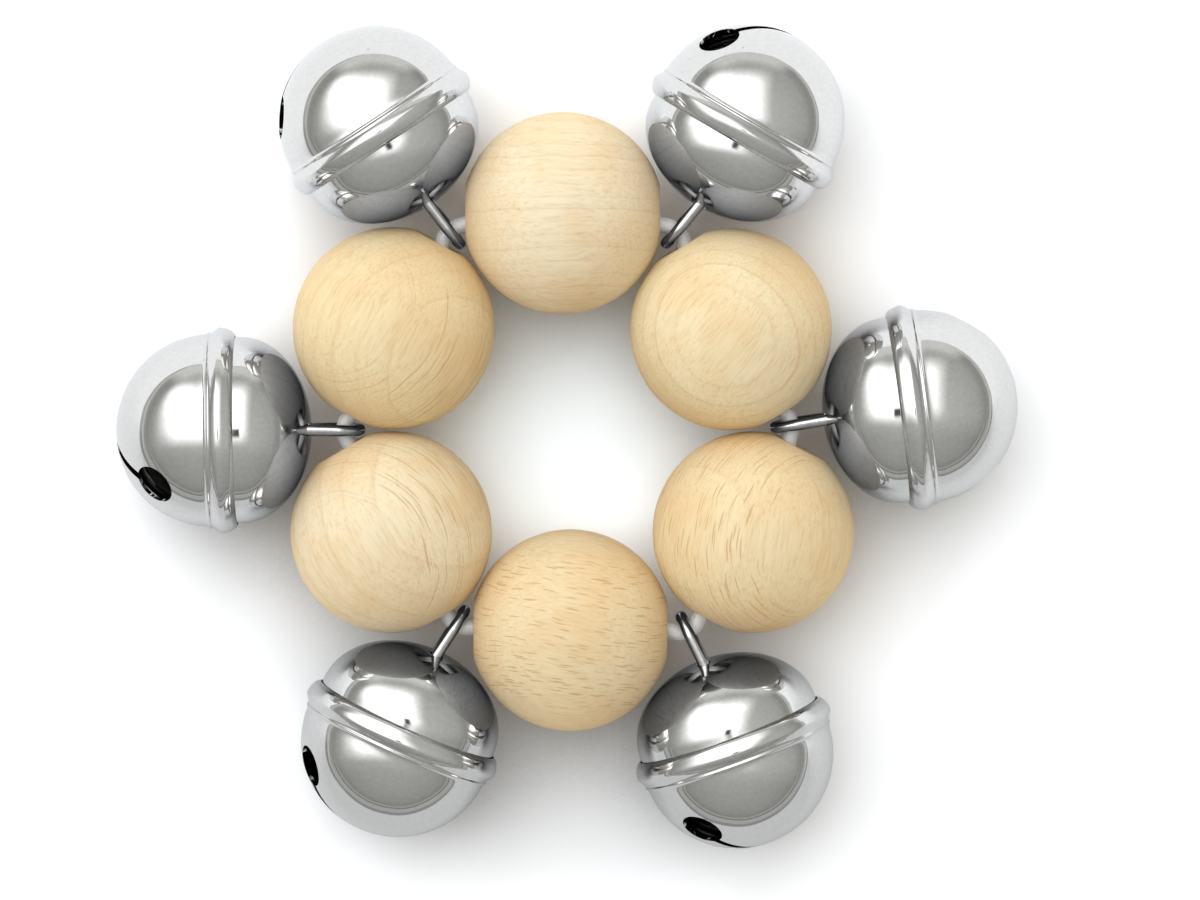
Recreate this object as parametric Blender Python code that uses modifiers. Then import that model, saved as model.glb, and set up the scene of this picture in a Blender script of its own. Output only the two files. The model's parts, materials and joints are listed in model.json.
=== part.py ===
# Wrist bells: six beech beads on an elastic cord, with a crotal bell hung in each gap.
# The ring lies on a table, seen from above. Metres, +Z up, +X to the right and +Y away.
# Beads are numbered clockwise from the far one, and bell 1 hangs between beads 1 and 2.

import math

import bmesh
import bpy
from mathutils import Vector

MM = 0.001

# Gaps between neighbouring pieces
CLEARANCE = 0.3 * MM
LOOP_CLEARANCE = 0.1 * MM
SWING_CLEARANCE = 0.2 * MM
CORD_PLAY = 0.2 * MM
LEG_PLAY = 0.4 * MM

# Turned beech beads: a ball with a bore, rounded at its mouths inside a narrow flat
BEAD_DIAMETER = 29.8 * MM
BORE_DIAMETER = 5.5 * MM
MOUTH_ROUND = 1.2 * MM
MOUTH_FLAT = 0.25 * MM

# How the ring lies: the space between beads 1-2, 2-3 and so on, and how far
# the line of beads turns at beads 2, 4 and 6 (60 degrees each in an even ring)
BEAD_SPACES = [0.4 * MM, 0.4 * MM, 0.9 * MM, 0.4 * MM, 0.4 * MM, 0.4 * MM]
TURN_AT_2 = math.radians(49.0)
TURN_AT_4 = math.radians(57.0)
TURN_AT_6 = math.radians(55.0)

# Elastic cord
CORD_DIAMETER = 2.4 * MM
CORD_BEND = 1.6 * MM
CORD_FLAT = 1.1 * MM

# Pressed bell shells, each a dome on a short straight skirt. Places along a bell are
# measured from its middle plane: the loop shell's lie towards the cord.
SHELL_DIAMETER = 28.4 * MM
SHELL_WALL = 0.6 * MM
SLOTTED_DOME_PLACE = 1.4 * MM
SLOTTED_DOME_DEPTH = 12.85 * MM
SKIRT_INSET = 0.45 * MM
LOOP_DOME_PLACE = 4.1 * MM
LOOP_DOME_DEPTH = 10.5 * MM

# Rolled rim: below a thin crest line the slotted shell swells into a hump, whose edge
# is rolled over the loop shell's skirt
RIM_CREST_PLACE = 0.25 * MM
RIM_CREST_WIDTH = 0.7 * MM
RIM_CREST_STANDOUT = 0.15 * MM
RIM_SHOULDER_PLACE = 0.7 * MM
RIM_SHOULDER_STANDOUT = 0.8 * MM
RIM_HUMP_PLACE = 1.4 * MM
RIM_HUMP_STANDOUT = 1.0 * MM
RIM_LEDGE_PLACE = 0.6 * MM
RIM_SEAM_PLACE = 3.5 * MM
RIM_EDGE = 0.25 * MM

# Sound slit with a round hole at each end
SLIT_WIDTH = 1.3 * MM
SLIT_HOLE_DIAMETER = 6.2 * MM
SLIT_HOLE_PLACE = 8.4 * MM

# Wire loop, its legs clinched inside the bell
WIRE_DIAMETER = 1.7 * MM
LOOP_WIDTH = 8.3 * MM
LOOP_REACH = 4.9 * MM
CLINCH_GAP = 0.5 * MM
CLINCH_INNER_BEND = 0.2 * MM
CLINCH_LENGTH = 3.5 * MM

# Loose pellet inside each bell
PELLET_DIAMETER = 8.0 * MM

# How each bell lies: pulled out from the beads, its loop turned sideways between them,
# its shells leaning on the loop, and rolled about their own axis. Angles in degrees.
BELL_PULLS = [0.2 * MM, 0.1 * MM, 1.2 * MM, 0.2 * MM, 0.0 * MM, 0.0 * MM]
LOOP_TURNS = [-5.0, 3.0, -2.0, -4.0, 0.0, 3.0]
BELL_LEANS = [9.5, -2.0, -6.0, 8.5, 1.5, -4.0]
BELL_ROLLS = [31.0, -4.0, -41.0, -25.0, 50.0, 10.0]

# Facets round each turned piece, and rings along its outline
BEAD_FACETS = 18
BEAD_RINGS = 8
MOUTH_RINGS = 2
SHELL_FACETS = 20
SLOTTED_OUTER_RINGS = 6
SLOTTED_INNER_RINGS = 3
LOOP_OUTER_RINGS = 5
LOOP_INNER_RINGS = 3
HOLE_FACETS = 10
PELLET_FACETS = 9
PELLET_RINGS = 6
WIRE_BEND_STEPS = 6
CLINCH_STEPS = 3
CORD_BEND_STEPS = 1
SWING_STEP = math.radians(0.1)
SWING_TEST_POINTS = 40

BEECH = (0.83, 0.66, 0.43, 1.0)
NICKEL = (0.80, 0.80, 0.81, 1.0)
STEEL = (0.55, 0.56, 0.58, 1.0)
ELASTIC = (0.86, 0.86, 0.85, 1.0)

BEAD_RADIUS = BEAD_DIAMETER / 2
BORE_RADIUS = BORE_DIAMETER / 2
FLAT_RADIUS = BORE_RADIUS + MOUTH_ROUND + MOUTH_FLAT
BEAD_HALF_LENGTH = math.sqrt(BEAD_RADIUS**2 - FLAT_RADIUS**2)
CORD_RADIUS = CORD_DIAMETER / 2
WIRE_RADIUS = WIRE_DIAMETER / 2
SHELL_RADIUS = SHELL_DIAMETER / 2
SHELL_INSIDE = SHELL_RADIUS - SHELL_WALL
SKIRT_RADIUS = SHELL_RADIUS - SKIRT_INSET
SKIRT_INSIDE = SKIRT_RADIUS - SHELL_WALL
RIM_RADIUS = SHELL_RADIUS + RIM_HUMP_STANDOUT
LIP_RADIUS = SKIRT_RADIUS + CLEARANCE
LOOP_SIDE_DEPTH = LOOP_DOME_PLACE + LOOP_DOME_DEPTH
LEAN_REACH = LOOP_REACH + SHELL_WALL
LEAN_TO_MIDDLE = LOOP_SIDE_DEPTH - SHELL_WALL
LOOP_RADIUS = LOOP_WIDTH / 2 - WIRE_RADIUS
LOOP_TO_CORD = CORD_RADIUS + CORD_PLAY + WIRE_RADIUS
PELLET_DROP = SKIRT_INSIDE - PELLET_DIAMETER / 2 - CLEARANCE
AXIS_HEIGHT = max(RIM_RADIUS, BEAD_RADIUS)


def clear_scene():
    for item in list(bpy.data.objects):
        bpy.data.objects.remove(item, do_unlink=True)


def new_collection(name):
    collection = bpy.data.collections.new(name)
    bpy.context.scene.collection.children.link(collection)
    return collection


def new_empty(name, collection):
    empty = bpy.data.objects.new(name, None)
    collection.objects.link(empty)
    return empty


def new_material(name, colour, roughness, metallic):
    material = bpy.data.materials.new(name)
    material.use_nodes = True
    shader = material.node_tree.nodes["Principled BSDF"]
    shader.inputs["Base Color"].default_value = colour
    shader.inputs["Roughness"].default_value = roughness
    shader.inputs["Metallic"].default_value = metallic
    material.diffuse_color = colour
    return material


def place(name, data, collection, finish):
    """Put a copy of some mesh or curve in the scene as one named piece."""
    piece = bpy.data.objects.new(name, data.copy())
    collection.objects.link(piece)
    piece.data.materials.clear()
    piece.data.materials.append(new_material(name, *finish))
    return piece


# Plan of the ring, in its own plane


def left_of(direction):
    return Vector((-direction.y, direction.x))


def apex(start, end, from_start, from_end):
    """Third corner of a triangle, on the left of the line from start to end."""
    base = end - start
    along = (from_start**2 - from_end**2 + base.length_squared) / (2 * base.length)
    height = math.sqrt(from_start**2 - along**2)
    ahead = base.normalized()
    return start + ahead * along + left_of(ahead) * height


def across_turn(first, second, turn):
    """Distance between the far ends of two links that turn at the bead between them."""
    return math.sqrt(first**2 + second**2 + 2 * first * second * math.cos(turn))


def bead_centres():
    """Six bead centres, clockwise from bead 1."""
    pitch = [BEAD_DIAMETER + space for space in BEAD_SPACES]
    right = across_turn(pitch[0], pitch[1], TURN_AT_2)
    lower = across_turn(pitch[2], pitch[3], TURN_AT_4)
    left = across_turn(pitch[4], pitch[5], TURN_AT_6)
    bead_5 = Vector((0.0, 0.0))
    bead_3 = Vector((lower, 0.0))
    bead_1 = apex(bead_5, bead_3, left, right)
    bead_2 = apex(bead_1, bead_3, pitch[0], pitch[1])
    bead_4 = apex(bead_3, bead_5, pitch[2], pitch[3])
    bead_6 = apex(bead_5, bead_1, pitch[4], pitch[5])
    return [bead_1, bead_2, bead_3, bead_4, bead_5, bead_6]


def loop_seat():
    """How far out from the line of two close beads the end of a wire loop rests."""
    touch = BEAD_RADIUS + LOOP_CLEARANCE + WIRE_RADIUS
    half = (BEAD_DIAMETER + min(BEAD_SPACES)) / 2
    return math.sqrt(touch**2 - half**2)


def bell_spot(before, after, pull, turn):
    """Where a wire loop crosses the cord, and the way it points from there."""
    outward = left_of((after - before).normalized())
    seat = (before + after) / 2 + outward * (loop_seat() + pull)
    bearing = math.atan2(outward.y, outward.x) + math.radians(turn)
    return seat + unit(bearing) * LOOP_TO_CORD, bearing


def unit(bearing):
    return Vector((math.cos(bearing), math.sin(bearing)))


def bell_middle(pivot, bearing, lean):
    """The shells lean on their loop about the holes where its legs pass through them."""
    return pivot + unit(bearing) * LEAN_REACH + unit(bearing + lean) * LEAN_TO_MIDDLE


def lay_out_ring():
    """Bead centres, and each bell's pivot, bearing and lean, about the middle of the ring."""
    beads = bead_centres()
    bells = []
    for index, (pull, turn, lean) in enumerate(zip(BELL_PULLS, LOOP_TURNS, BELL_LEANS)):
        pivot, bearing = bell_spot(beads[index], beads[(index + 1) % len(beads)], pull, turn)
        bells.append((pivot, bearing, math.radians(lean)))
    reach = [bell_middle(*bell) for bell in bells]
    across = [point.x for point in reach]
    along = [point.y for point in reach]
    middle = Vector(((max(across) + min(across)) / 2, (max(along) + min(along)) / 2))
    beads = [bead - middle for bead in beads]
    bells = [(pivot - middle, bearing, lean) for pivot, bearing, lean in bells]
    return beads, bells


def bead_axis(beads, index):
    """Direction of a bead's bore: half way between the lines to its two neighbours."""
    before = (beads[index] - beads[index - 1]).normalized()
    after = (beads[(index + 1) % len(beads)] - beads[index]).normalized()
    return (before + after).normalized()


def bead_gap(bead, bell, swing):
    """Least space between a bead and the loop shell or rim of a bell that is swung up."""
    pivot, bearing, lean = bell
    away = bead - pivot
    ahead = away.dot(unit(bearing))
    beside = away.dot(left_of(unit(bearing)))
    past_holes = ahead * math.cos(swing) - LEAN_REACH
    height = past_holes * math.cos(lean) + beside * math.sin(lean) - LEAN_TO_MIDDLE
    sideways = beside * math.cos(lean) - past_holes * math.sin(lean)
    across = math.hypot(sideways, ahead * math.sin(swing))
    outline = shifted(
        ellipse(SKIRT_RADIUS, LOOP_DOME_DEPTH, math.pi / 2, math.pi, SWING_TEST_POINTS),
        -LOOP_DOME_PLACE,
    )
    outline += [(LIP_RADIUS + RIM_EDGE, -RIM_SEAM_PLACE), (RIM_RADIUS, -RIM_HUMP_PLACE)]
    nearest = min(math.hypot(across - x, height - z) for x, z in outline)
    return nearest - BEAD_RADIUS


def swing_limit(beads, index, bell):
    """Largest swing that keeps the bell clear of the two beads beside it."""
    beside = (beads[index], beads[(index + 1) % len(beads)])
    swing = 0.0
    while swing < math.pi and all(bead_gap(bead, bell, swing) > SWING_CLEARANCE for bead in beside):
        swing += SWING_STEP
    return swing


# Shapes


def rounded_path(corners, radius, steps, closed):
    """Points along a path whose corners are rounded to one radius."""
    points = []
    count = len(corners)
    for index, corner in enumerate(corners):
        if not closed and index in (0, count - 1):
            points.append(corner)
            continue
        back = (corners[index - 1] - corner).normalized()
        ahead = (corners[(index + 1) % count] - corner).normalized()
        turn = math.pi - back.angle(ahead)
        setback = radius * math.tan(turn / 2)
        centre = corner + (back + ahead).normalized() * (radius / math.cos(turn / 2))
        start = corner + back * setback - centre
        end = corner + ahead * setback - centre
        for step in range(steps + 1):
            share = step / steps
            first = math.sin((1 - share) * turn) / math.sin(turn)
            second = math.sin(share * turn) / math.sin(turn)
            points.append(centre + start * first + end * second)
    return points


def tube_data(name, points, radius, closed):
    curve = bpy.data.curves.new(name, "CURVE")
    curve.dimensions = "3D"
    curve.bevel_depth = radius
    curve.bevel_resolution = 2
    curve.use_fill_caps = not closed
    spline = curve.splines.new("POLY")
    spline.points.add(len(points) - 1)
    for target, point in zip(spline.points, points):
        target.co = (point.x, point.y, point.z, 1.0)
    spline.use_cyclic_u = closed
    spline.use_smooth = True
    return curve


def arc(radius, start, end, steps):
    """Points (across, up) on an arc about the origin, angles measured from straight up."""
    points = []
    for step in range(steps + 1):
        angle = start + (end - start) * step / steps
        points.append((radius * math.sin(angle), radius * math.cos(angle)))
    return points


def turned_piece(name, profile, closed, facets, helpers):
    """Turn a profile of (radius, height) points about the local Z axis."""
    mesh = bpy.data.meshes.new(name)
    edges = [(index, index + 1) for index in range(len(profile) - 1)]
    if closed:
        edges.append((len(profile) - 1, 0))
    mesh.from_pydata([(radius, 0.0, height) for radius, height in profile], edges, [])
    piece = bpy.data.objects.new(name, mesh)
    helpers.objects.link(piece)
    screw = piece.modifiers.new("Turn", "SCREW")
    screw.steps = facets
    screw.render_steps = facets
    screw.use_merge_vertices = True
    screw.merge_threshold = 0.00001
    screw.use_smooth_shade = True
    return piece


def cutter(name, mesh_maker, location, rotation, helpers):
    mesh = bpy.data.meshes.new(name)
    shape = bmesh.new()
    mesh_maker(shape)
    shape.to_mesh(mesh)
    shape.free()
    piece = bpy.data.objects.new(name, mesh)
    helpers.objects.link(piece)
    piece.location = location
    piece.rotation_euler = rotation
    piece.hide_render = True
    piece.display_type = "WIRE"
    return piece


def cut(piece, tool):
    boolean = piece.modifiers.new("Cut " + tool.name, "BOOLEAN")
    boolean.operation = "DIFFERENCE"
    boolean.solver = "EXACT"
    boolean.object = tool


def finished_mesh(piece, tools):
    """The evaluated mesh of a shaped piece, after which the helpers are removed."""
    bpy.context.view_layer.update()
    evaluated = piece.evaluated_get(bpy.context.evaluated_depsgraph_get())
    mesh = bpy.data.meshes.new_from_object(evaluated)
    shape = bmesh.new()
    shape.from_mesh(mesh)
    bmesh.ops.remove_doubles(shape, verts=shape.verts, dist=0.000001)
    shape.to_mesh(mesh)
    shape.free()
    mesh.shade_smooth()
    mesh.set_sharp_from_angle(angle=math.radians(35.0))
    for item in [piece] + tools:
        bpy.data.objects.remove(item, do_unlink=True)
    return mesh


def bead_profile():
    """Closed outline of a bead: down its outside, then up through the bore."""
    start = math.asin(FLAT_RADIUS / BEAD_RADIUS)
    outline = arc(BEAD_RADIUS, start, math.pi - start, BEAD_RINGS)
    mouth = arc(MOUTH_ROUND, math.pi, 1.5 * math.pi, MOUTH_RINGS)
    centre = BORE_RADIUS + MOUTH_ROUND
    lower = [(centre + x, MOUTH_ROUND - BEAD_HALF_LENGTH + z) for x, z in mouth]
    upper = [(radius, -height) for radius, height in reversed(lower)]
    return outline + lower + upper


def ellipse(across, depth, start, end, steps):
    points = arc(1.0, start, end, steps)
    return [(max(0.0, x) * across, z * depth) for x, z in points]


def shifted(points, rise):
    return [(x, z + rise) for x, z in points]


def slotted_profile():
    """Open outline of the slotted shell, from its outer pole round the rim to its inner pole."""
    inner_depth = SLOTTED_DOME_DEPTH - SHELL_WALL
    outside = ellipse(SHELL_RADIUS, SLOTTED_DOME_DEPTH, 0.0, math.pi / 2, SLOTTED_OUTER_RINGS)
    inside = ellipse(SHELL_INSIDE, inner_depth, math.pi / 2, 0.0, SLOTTED_INNER_RINGS)
    rim = [
        (SHELL_RADIUS, RIM_CREST_PLACE + RIM_CREST_WIDTH / 2),
        (SHELL_RADIUS + RIM_CREST_STANDOUT, RIM_CREST_PLACE),
        (SHELL_RADIUS, RIM_CREST_PLACE - RIM_CREST_WIDTH / 2),
        (SHELL_RADIUS + RIM_SHOULDER_STANDOUT, -RIM_SHOULDER_PLACE),
        (RIM_RADIUS, -RIM_HUMP_PLACE),
        (LIP_RADIUS + RIM_EDGE, -RIM_SEAM_PLACE),
        (LIP_RADIUS, -RIM_SEAM_PLACE),
        (LIP_RADIUS, -RIM_LEDGE_PLACE),
        (SHELL_INSIDE, -RIM_LEDGE_PLACE),
    ]
    return shifted(outside, SLOTTED_DOME_PLACE) + rim + shifted(inside, SLOTTED_DOME_PLACE)


def loop_shell_profile():
    """Open outline of the loop shell, from its inner pole over the skirt to its outer pole."""
    skirt = -RIM_LEDGE_PLACE - CLEARANCE
    inner_depth = LOOP_DOME_DEPTH - SHELL_WALL
    inside = ellipse(SKIRT_INSIDE, inner_depth, math.pi, math.pi / 2, LOOP_INNER_RINGS)
    outside = ellipse(SKIRT_RADIUS, LOOP_DOME_DEPTH, math.pi / 2, math.pi, LOOP_OUTER_RINGS)
    edge = [(SKIRT_INSIDE, skirt), (SKIRT_RADIUS, skirt)]
    return shifted(inside, -LOOP_DOME_PLACE) + edge + shifted(outside, -LOOP_DOME_PLACE)


def slotted_shell_mesh(helpers):
    """Slotted shell about the bell's middle, its outer pole along +Z and its slit along Y."""
    shell = turned_piece("slotted shell", slotted_profile(), False, SHELL_FACETS, helpers)
    up_dome = (SLIT_HOLE_PLACE - SLOTTED_DOME_PLACE) / SLOTTED_DOME_DEPTH
    hole_across = SHELL_RADIUS * math.sqrt(1 - up_dome**2)
    hole_lean = math.atan2(hole_across, SLIT_HOLE_PLACE)
    top = SLOTTED_DOME_PLACE + SLOTTED_DOME_DEPTH + SHELL_WALL

    def slit(shape):
        bmesh.ops.create_cube(shape, size=1.0)
        size = (SLIT_WIDTH, 2 * hole_across, top - SLIT_HOLE_PLACE)
        bmesh.ops.scale(shape, vec=size, verts=shape.verts)

    def hole(shape):
        bmesh.ops.create_cone(
            shape,
            cap_ends=True,
            segments=HOLE_FACETS,
            radius1=SLIT_HOLE_DIAMETER / 2,
            radius2=SLIT_HOLE_DIAMETER / 2,
            depth=SLIT_HOLE_DIAMETER,
        )

    tools = [cutter("slit", slit, (0, 0, (top + SLIT_HOLE_PLACE) / 2), (0, 0, 0), helpers)]
    for side in (1, -1):
        place_at = (0, side * hole_across, SLIT_HOLE_PLACE)
        tools.append(cutter("slit end", hole, place_at, (-side * hole_lean, 0, 0), helpers))
    for tool in tools:
        cut(shell, tool)
    return finished_mesh(shell, tools)


def loop_shell_mesh(helpers):
    """Loop shell about the bell's middle, its pole along -Z and a hole for each wire leg."""
    shell = turned_piece("loop shell", loop_shell_profile(), False, SHELL_FACETS, helpers)

    def leg_hole(shape):
        bmesh.ops.create_cone(
            shape,
            cap_ends=True,
            segments=HOLE_FACETS,
            radius1=WIRE_RADIUS + LEG_PLAY,
            radius2=WIRE_RADIUS + LEG_PLAY,
            depth=6 * SHELL_WALL,
        )

    tools = []
    for side in (1, -1):
        place_at = (side * LOOP_RADIUS, 0, SHELL_WALL - LOOP_SIDE_DEPTH)
        tools.append(cutter("leg hole", leg_hole, place_at, (0, 0, 0), helpers))
    for tool in tools:
        cut(shell, tool)
    return finished_mesh(shell, tools)


def loop_path():
    """Centre line of the wire loop in the hanger's frame: cord at the origin, bell along +X."""
    off_wall = SHELL_WALL + CLINCH_GAP + WIRE_RADIUS
    foot_across = SKIRT_RADIUS - off_wall
    foot_depth = LOOP_DOME_DEPTH - off_wall
    upper = []
    for height in (LOOP_RADIUS + CLINCH_LENGTH, LOOP_RADIUS + CLINCH_LENGTH / 2, LOOP_RADIUS):
        along = foot_depth * math.sqrt(1 - (height / foot_across) ** 2)
        upper.append(Vector((LOOP_REACH + LOOP_DOME_DEPTH - along, 0, height)))
    bend_start = LOOP_RADIUS - LOOP_TO_CORD
    upper.append(Vector((bend_start, 0, LOOP_RADIUS)))
    bend_radius = WIRE_RADIUS + CLINCH_INNER_BEND
    clinched = rounded_path(upper[1:], bend_radius, CLINCH_STEPS, False)
    half = [upper[0]] + clinched[:-1]
    bend = []
    for x, z in arc(LOOP_RADIUS, 0.0, -math.pi, WIRE_BEND_STEPS):
        bend.append(Vector((bend_start + x, 0, z)))
    mirrored = [Vector((point.x, 0, -point.z)) for point in reversed(half)]
    return half + bend + mirrored


def cord_path(beads, bells):
    """Closed centre line of the cord, through every bore and every wire loop."""
    slack = BORE_RADIUS - CORD_RADIUS - CLEARANCE
    straight = BEAD_HALF_LENGTH - MOUTH_ROUND
    corners = []
    for index, bead in enumerate(beads):
        axis = bead_axis(beads, index)
        outward = left_of(axis)
        pull = [(bells[side][0] - bead).dot(outward) for side in (index - 1, index)]
        shift = max(-slack, min(slack, sum(pull) / 2))
        middle = bead + outward * shift
        corners.append(middle - axis * straight)
        corners.append(middle + axis * straight)
        pivot, bearing, _ = bells[index]
        across = left_of(unit(bearing))
        corners.append(pivot + across * CORD_FLAT)
        corners.append(pivot - across * CORD_FLAT)
    corners = [Vector((corner.x, corner.y, AXIS_HEIGHT)) for corner in corners]
    return rounded_path(corners, CORD_BEND, CORD_BEND_STEPS, True)


# Pieces


def make_beads(beads, collection, helpers):
    turned = turned_piece("bead", bead_profile(), True, BEAD_FACETS, helpers)
    mesh = finished_mesh(turned, [])
    for index, centre in enumerate(beads):
        axis = bead_axis(beads, index)
        bead = place(f"bead_{index + 1}", mesh, collection, (BEECH, 0.45, 0.0))
        bead.location = (centre.x, centre.y, AXIS_HEIGHT)
        bead.rotation_euler = (0, math.pi / 2, math.atan2(axis.y, axis.x))


def make_cord(beads, bells, collection):
    curve = tube_data("elastic_cord", cord_path(beads, bells), CORD_RADIUS, True)
    place("elastic_cord", curve, collection, (ELASTIC, 0.6, 0.0))


def pellet_mesh():
    mesh = bpy.data.meshes.new("pellet")
    shape = bmesh.new()
    bmesh.ops.create_uvsphere(
        shape,
        u_segments=PELLET_FACETS,
        v_segments=PELLET_RINGS,
        radius=PELLET_DIAMETER / 2,
    )
    shape.to_mesh(mesh)
    shape.free()
    mesh.shade_smooth()
    return mesh


def make_bells(bells, collection, helpers):
    slotted = slotted_shell_mesh(helpers)
    plain = loop_shell_mesh(helpers)
    wire = tube_data("wire loop", loop_path(), WIRE_RADIUS, False)
    ball = pellet_mesh()
    for index, (pivot, bearing, lean) in enumerate(bells):
        name = f"bell_{index + 1}"
        hanger = new_empty(name + "_hanger", collection)
        hanger.location = (pivot.x, pivot.y, AXIS_HEIGHT)
        hanger.rotation_euler = (0, 0, bearing)
        loop = place(name + "_wire_loop", wire, collection, (NICKEL, 0.15, 1.0))
        loop.parent = hanger

        middle = bell_middle(pivot, bearing, lean)
        shells = new_empty(name + "_middle", collection)
        shells.location = (middle.x, middle.y, AXIS_HEIGHT)
        shells.rotation_euler = (0, 0, bearing + lean)
        outer = place(name + "_slotted_shell", slotted, collection, (NICKEL, 0.08, 1.0))
        outer.rotation_mode = "ZYX"
        outer.rotation_euler = (0, math.pi / 2, math.radians(BELL_ROLLS[index]))
        inner = place(name + "_loop_shell", plain, collection, (NICKEL, 0.08, 1.0))
        inner.rotation_euler = (0, math.pi / 2, 0)
        pellet = place(name + "_pellet", ball, collection, (STEEL, 0.35, 1.0))
        pellet.location = (0, 0, -PELLET_DROP)
        for piece in (outer, inner, pellet):
            piece.parent = shells


def build():
    clear_scene()
    collection = new_collection("Wrist bells")
    helpers = new_collection("Cutters")
    beads, bells = lay_out_ring()
    make_beads(beads, collection, helpers)
    make_cord(beads, bells, collection)
    make_bells(bells, collection, helpers)
    for index, bell in enumerate(bells):
        limit = math.degrees(swing_limit(beads, index, bell))
        print(f"bell {index + 1} swings {limit:.1f} degrees each way before it meets a bead")


build()
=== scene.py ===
# Wrist bells in turned beech and polished nickel: their finish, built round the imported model.
# Metres, +Z up, +X to the right and +Y away, as in the photograph seen from above.

import json
import math

import bmesh
import bpy
from mathutils import Matrix, Vector


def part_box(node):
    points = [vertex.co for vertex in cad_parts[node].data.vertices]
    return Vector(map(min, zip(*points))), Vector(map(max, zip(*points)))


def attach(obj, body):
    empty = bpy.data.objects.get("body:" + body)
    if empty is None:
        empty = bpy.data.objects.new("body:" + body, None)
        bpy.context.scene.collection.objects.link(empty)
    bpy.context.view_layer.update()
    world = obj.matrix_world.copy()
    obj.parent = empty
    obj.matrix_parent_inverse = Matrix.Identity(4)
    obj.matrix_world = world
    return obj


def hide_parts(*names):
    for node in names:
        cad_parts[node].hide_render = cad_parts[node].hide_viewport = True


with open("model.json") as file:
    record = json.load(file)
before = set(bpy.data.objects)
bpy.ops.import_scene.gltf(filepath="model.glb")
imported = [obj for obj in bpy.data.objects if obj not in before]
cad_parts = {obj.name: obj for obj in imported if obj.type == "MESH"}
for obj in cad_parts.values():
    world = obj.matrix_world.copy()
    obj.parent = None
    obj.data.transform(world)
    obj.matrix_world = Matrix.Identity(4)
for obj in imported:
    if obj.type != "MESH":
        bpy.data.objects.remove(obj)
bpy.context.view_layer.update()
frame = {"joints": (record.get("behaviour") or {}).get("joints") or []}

MM = 0.001

# The photograph: its size, its scale at the height of the beads, and where bead 1 lies in it
PHOTO_WIDTH = 1200
PHOTO_HEIGHT = 900
PIXELS_PER_MM = 6.767
BEAD_1_PIXEL = (562.8, 212.9)
CAMERA_DISTANCE = 1200 * MM
CAMERA_TILT = math.radians(3.5)
SENSOR_WIDTH = 36.0

# Beads
BEAD_DIAMETER = 29.8 * MM
BORE_DIAMETER = 5.5 * MM
MOUTH_ROUND = 1.2 * MM
MOUTH_FLAT = 0.25 * MM

# Cord
CORD_DIAMETER = 2.4 * MM
CORD_CLEARANCE = 0.3 * MM
CORD_BEND = 1.6 * MM
CORD_FLAT = 1.1 * MM

# Pressed bell shells. Places along a bell are measured from its middle plane: the loop
# shell's lie towards the cord.
SHELL_DIAMETER = 28.4 * MM
SHELL_WALL = 0.6 * MM
SLOTTED_DOME_PLACE = 0.4 * MM
SLOTTED_DOME_DEPTH = 13.85 * MM
SKIRT_INSET = 0.45 * MM
LOOP_DOME_PLACE = 4.1 * MM
LOOP_DOME_DEPTH = 10.5 * MM
SEAM_GAP = 0.2 * MM
SLIT_WIDTH = 1.3 * MM
SLIT_HOLE_DIAMETER = 6.2 * MM
SLIT_HOLE_PLACE = 8.4 * MM

# Rolled rim
RIM_FOOT_PLACE = 1.4 * MM
RIM_CREST_PLACE = 0.42 * MM
RIM_CREST_STANDOUT = 0.34 * MM
RIM_VALLEY_STANDOUT = 0.22 * MM
RIM_HUMP_PLACE = 1.3 * MM
RIM_HUMP_STANDOUT = 1.0 * MM
RIM_LEDGE_PLACE = 0.6 * MM
RIM_SEAM_PLACE = 3.5 * MM
RIM_EDGE = 0.25 * MM

# Wire loops and pellets
WIRE_DIAMETER = 1.7 * MM
LOOP_WIDTH = 8.3 * MM
LOOP_REACH = 4.9 * MM
LOOP_TO_CORD = 2.25 * MM
CLINCH_GAP = 0.5 * MM
CLINCH_BEND = 1.05 * MM
CLINCH_LENGTH = 3.5 * MM
PELLET_DIAMETER = 8.0 * MM

# How each bell's shells lean on their loop and are rolled about their own axis, in degrees
BELL_LEANS = [9.5, -2.0, -6.0, 8.5, 1.5, -4.0]
BELL_ROLLS = [31.0, -4.0, -41.0, -25.0, 50.0, 10.0]

# The white paper on the table, as far as the nickel mirrors it, from the middle of the ring
PAPER_LEFT = -340 * MM
PAPER_RIGHT = 620 * MM
PAPER_FRONT = -330 * MM
PAPER_EDGE = 20 * MM

# Fineness of turned pieces, holes, wires and bends
TURN_STEPS = 160
HOLE_STEPS = 64
WIRE_SIDES = 10
BEND_STEPS = 8

NUMBERS = range(1, 7)


def linear(hex_colour):
    """A written sRGB colour as the linear values that a shader takes."""
    channels = []
    for start in (0, 2, 4):
        value = int(hex_colour[start:start + 2], 16) / 255
        channels.append(value / 12.92 if value <= 0.04045 else ((value + 0.055) / 1.055) ** 2.4)
    return (*channels, 1.0)


def grey(value):
    return (value, value, value, 1.0)


def add_node(tree, kind, inputs=None, stops=None, **settings):
    """Add one node. An input takes a value or another node's output, and stops fill a ramp."""
    node = tree.nodes.new(kind)
    for name, value in settings.items():
        setattr(node, name, value)
    for socket, value in (inputs or {}).items():
        if isinstance(value, bpy.types.NodeSocket):
            tree.links.new(value, node.inputs[socket])
        else:
            node.inputs[socket].default_value = value
    if stops:
        ramp = node.color_ramp
        while len(ramp.elements) < len(stops):
            ramp.elements.new(1.0)
        for element, (place, colour) in zip(ramp.elements, stops):
            element.position = place
            element.color = colour
    return node


def new_material(name):
    material = bpy.data.materials.new(name)
    material.use_nodes = True
    material.node_tree.nodes.clear()
    return material, material.node_tree


def close_material(tree, shader):
    add_node(tree, "ShaderNodeOutputMaterial", {"Surface": shader.outputs[0]})


# Finishes


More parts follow.
